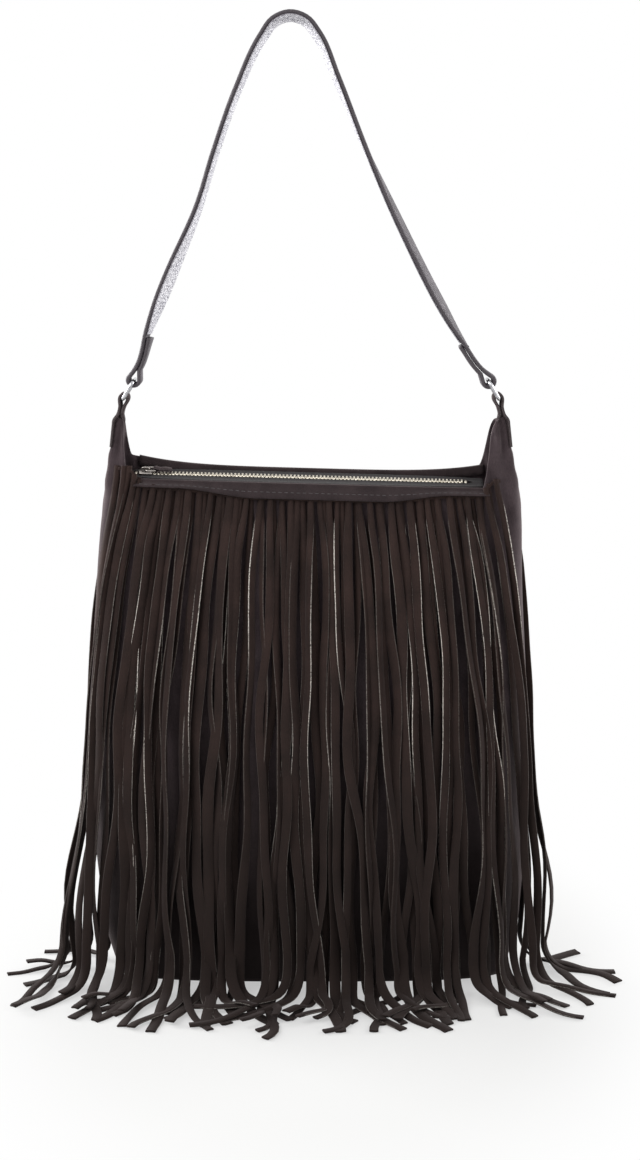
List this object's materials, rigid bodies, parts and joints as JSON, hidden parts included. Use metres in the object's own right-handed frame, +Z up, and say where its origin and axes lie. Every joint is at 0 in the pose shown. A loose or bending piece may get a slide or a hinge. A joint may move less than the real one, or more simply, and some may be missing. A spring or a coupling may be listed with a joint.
{
  "type": "fringed suede bag",
  "caption": "Soft upright suede shoulder bag with long cut fringes, a metal zip across its mouth and a folded leather strap on metal rings.",
  "frame": {"origin": "middle of the base's underside, on the ground", "axes": "+X to the right along the bag's width, -Y is the front with the fringe, +Z up along the strap"},
  "size_m": [0.5306, 0.2438, 0.7255],
  "materials": {
    "body_suede": "matte suede nap",
    "binding_suede": "matte suede, stitched",
    "fringe_suede": "matte suede with pale cut edges",
    "lining_cloth": "plain woven cloth",
    "tape_cloth": "woven tape",
    "zip_metal": "pale plated metal",
    "ring_metal": "polished",
    "strap_outer": "smooth, slightly waxed",
    "strap_inner": "pale raw flesh side"
  },
  "bodies": {
    "bag": {"front_panel": "body_suede", "back_panel": "body_suede", "base_panel": "body_suede", "lining": "lining_cloth", "mouth_binding_front": "binding_suede", "mouth_binding_back": "binding_suede", "fringe_front_inner": "fringe_suede", "fringe_front_outer": "fringe_suede", "fringe_side_left": "fringe_suede", "fringe_side_right": "fringe_suede", "zip_teeth_front": "zip_metal", "zip_teeth_back": "zip_metal", "zip_tape_front": "tape_cloth", "zip_tape_back": "tape_cloth", "zip_stop_left": "zip_metal", "zip_stop_right": "zip_metal", "tab_left": "binding_suede", "tab_right": "binding_suede"},
    "slider": {"zip_slider": "zip_metal", "zip_slider_base": "zip_metal"},
    "puller": {"zip_puller_link": "zip_metal", "zip_pull_lace": "fringe_suede"},
    "ring_left": {"ring_left": "ring_metal"},
    "ring_right": {"ring_right": "ring_metal"},
    "strap": {"strap_leather": "strap_outer", "strap_lining": "strap_inner"}
  },
  "joints": [
    {"name": "zip_slide", "type": "slide", "parent": "bag", "child": "slider", "axis": [0.9996, 0, -0.0279], "range_m": [0, 0.234]},
    {"name": "puller_swing", "type": "hinge", "parent": "slider", "child": "puller", "pos_m": [-0.12431, -0.00092, 0.3929], "axis": [-0.0072, -0.9659, -0.2587], "range_deg": [0, 100]},
    {"name": "ring_left_swing", "type": "hinge", "parent": "bag", "child": "ring_left", "pos_m": [-0.1395, 0, 0.4465], "axis": [0, 1, 0], "range_deg": [-20, 20]},
    {"name": "strap_swing", "type": "hinge", "parent": "ring_left", "child": "strap", "pos_m": [-0.132, 0, 0.45949], "axis": [0, 1, 0], "range_deg": [-21.5, 21.5]},
    {"name": "ring_right_swing", "type": "hinge", "parent": "bag", "child": "ring_right", "pos_m": [0.1395, 0, 0.4465], "axis": [0, 1, 0], "range_deg": [-20.2, 20.2]}
  ],
  "couplings": [
    {"joint": "strap_swing", "follows": "ring_left_swing", "ratio": -1.0555},
    {"joint": "ring_right_swing", "follows": "ring_left_swing", "ratio": 1}
  ]
}
